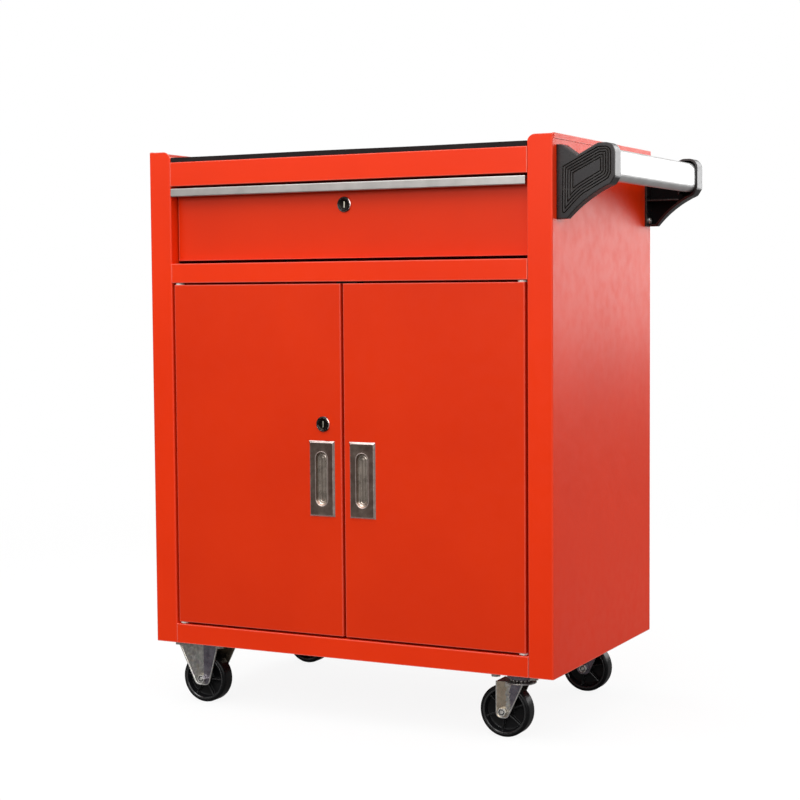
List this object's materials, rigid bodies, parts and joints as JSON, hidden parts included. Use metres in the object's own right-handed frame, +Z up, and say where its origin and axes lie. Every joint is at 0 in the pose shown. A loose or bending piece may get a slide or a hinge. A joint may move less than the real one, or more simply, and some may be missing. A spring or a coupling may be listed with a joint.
{
  "type": "rolling tool cabinet",
  "caption": "Rolling steel tool cabinet with a mat-covered top, one lockable drawer, a two-door cupboard, a side push handle and casters.",
  "frame": {"origin": "on the floor, under the middle of the overall box", "axes": "+X towards the push handle's side, -Y out of the doors, +Z up"},
  "size_m": [0.745, 0.4074, 0.848],
  "materials": {
    "red_paint": "gloss powder coat",
    "zinc_plate": "zinc plated",
    "nickel": "satin nickel",
    "dark_nickel": "dark nickel",
    "aluminium": "satin anodised",
    "black_plastic": "glossy moulded",
    "mat_rubber": "matt",
    "wheel_rubber": "semi-gloss moulded",
    "nylon": "natural",
    "catch_plastic": "matt"
  },
  "bodies": {
    "cabinet": {"left_side_panel": "red_paint", "right_side_panel": "red_paint", "top_panel": "red_paint", "top_mat": "mat_rubber", "back_panel": "red_paint", "bottom_panel": "red_paint", "mid_rail": "red_paint", "shelf": "red_paint", "shelf_clips": "zinc_plate", "left_slide_support": "red_paint", "right_slide_support": "red_paint", "left_caster_channel": "red_paint", "right_caster_channel": "red_paint", "left_slide_rail": "zinc_plate", "right_slide_rail": "zinc_plate", "door_pivot_pins": "zinc_plate", "door_catches": "catch_plastic", "handle_bracket_front": "black_plastic", "handle_bracket_rear": "black_plastic", "handle_tube": "aluminium", "handle_screws": "zinc_plate", "rigid_caster_front": "zinc_plate", "rigid_caster_rear": "zinc_plate", "rigid_axle_bolts": "zinc_plate", "rigid_axle_nuts": "zinc_plate", "swivel_plate_front": "zinc_plate", "swivel_plate_rear": "zinc_plate", "king_pins": "zinc_plate", "swivel_balls": "zinc_plate", "caster_bolts": "zinc_plate", "caster_nuts": "zinc_plate"},
    "drawer": {"drawer_front": "red_paint", "drawer_box": "red_paint", "drawer_pull_strip": "aluminium", "left_slide_runner": "zinc_plate", "right_slide_runner": "zinc_plate", "drawer_lock_housing": "dark_nickel", "drawer_lock_nut": "zinc_plate"},
    "drawer_lock": {"drawer_lock_plug": "nickel", "drawer_lock_cam": "zinc_plate"},
    "left_cage": {"left_ball_cage": "zinc_plate"},
    "right_cage": {"right_ball_cage": "zinc_plate"},
    "left_door": {"left_door": "red_paint", "left_door_bushes": "nylon", "left_door_pull": "nickel", "door_lock_housing": "dark_nickel", "door_lock_nut": "zinc_plate"},
    "door_lock": {"door_lock_plug": "nickel", "door_lock_cam": "zinc_plate"},
    "right_door": {"right_door": "red_paint", "right_door_bushes": "nylon", "right_door_pull": "nickel"},
    "front_fork": {"swivel_fork_front": "zinc_plate", "swivel_axle_front": "zinc_plate"},
    "rear_fork": {"swivel_fork_rear": "zinc_plate", "swivel_axle_rear": "zinc_plate"},
    "front_left_wheel": {"wheel_front_left": "wheel_rubber"},
    "rear_left_wheel": {"wheel_rear_left": "wheel_rubber"},
    "front_right_wheel": {"wheel_front_right": "wheel_rubber"},
    "rear_right_wheel": {"wheel_rear_right": "wheel_rubber"}
  },
  "joints": [
    {"name": "drawer_slide", "type": "slide", "parent": "cabinet", "child": "drawer", "axis": [0, -1, 0], "range_m": [0, 0.25]},
    {"name": "left_cage_slide", "type": "slide", "parent": "cabinet", "child": "left_cage", "axis": [0, -1, 0], "range_m": [0, 0.125]},
    {"name": "right_cage_slide", "type": "slide", "parent": "cabinet", "child": "right_cage", "axis": [0, -1, 0], "range_m": [0, 0.125]},
    {"name": "drawer_lock_turn", "type": "hinge", "parent": "drawer", "child": "drawer_lock", "pos_m": [-0.0425, -0.18425, 0.7605], "axis": [0, 1, 0], "range_deg": [0, 90]},
    {"name": "left_door_swing", "type": "hinge", "parent": "cabinet", "child": "left_door", "pos_m": [-0.324, -0.19325, 0.127], "axis": [0, 0, -1], "range_deg": [0, 100]},
    {"name": "right_door_swing", "type": "hinge", "parent": "cabinet", "child": "right_door", "pos_m": [0.241, -0.19325, 0.127], "axis": [0, 0, 1], "range_deg": [0, 100]},
    {"name": "door_lock_turn", "type": "hinge", "parent": "left_door", "child": "door_lock", "pos_m": [-0.072, -0.20075, 0.4415], "axis": [0, -1, 0], "range_deg": [0, 90]},
    {"name": "front_swivel", "type": "hinge", "parent": "cabinet", "child": "front_fork", "pos_m": [0.2215, -0.15725, 0.077], "axis": [0, 0, 1], "continuous": true},
    {"name": "rear_swivel", "type": "hinge", "parent": "cabinet", "child": "rear_fork", "pos_m": [0.2215, 0.15975, 0.077], "axis": [0, 0, 1], "continuous": true},
    {"name": "front_left_roll", "type": "hinge", "parent": "cabinet", "child": "front_left_wheel", "pos_m": [-0.307, -0.15725, 0.038], "axis": [0, 1, 0], "continuous": true},
    {"name": "rear_left_roll", "type": "hinge", "parent": "cabinet", "child": "rear_left_wheel", "pos_m": [-0.307, 0.15975, 0.038], "axis": [0, 1, 0], "continuous": true},
    {"name": "front_right_roll", "type": "hinge", "parent": "front_fork", "child": "front_right_wheel", "pos_m": [0.2, -0.15725, 0.038], "axis": [0, 1, 0], "continuous": true},
    {"name": "rear_right_roll", "type": "hinge", "parent": "rear_fork", "child": "rear_right_wheel", "pos_m": [0.2, 0.15975, 0.038], "axis": [0, 1, 0], "continuous": true}
  ],
  "couplings": [
    {"joint": "left_cage_slide", "follows": "drawer_slide", "ratio": 0.5},
    {"joint": "right_cage_slide", "follows": "drawer_slide", "ratio": 0.5}
  ]
}
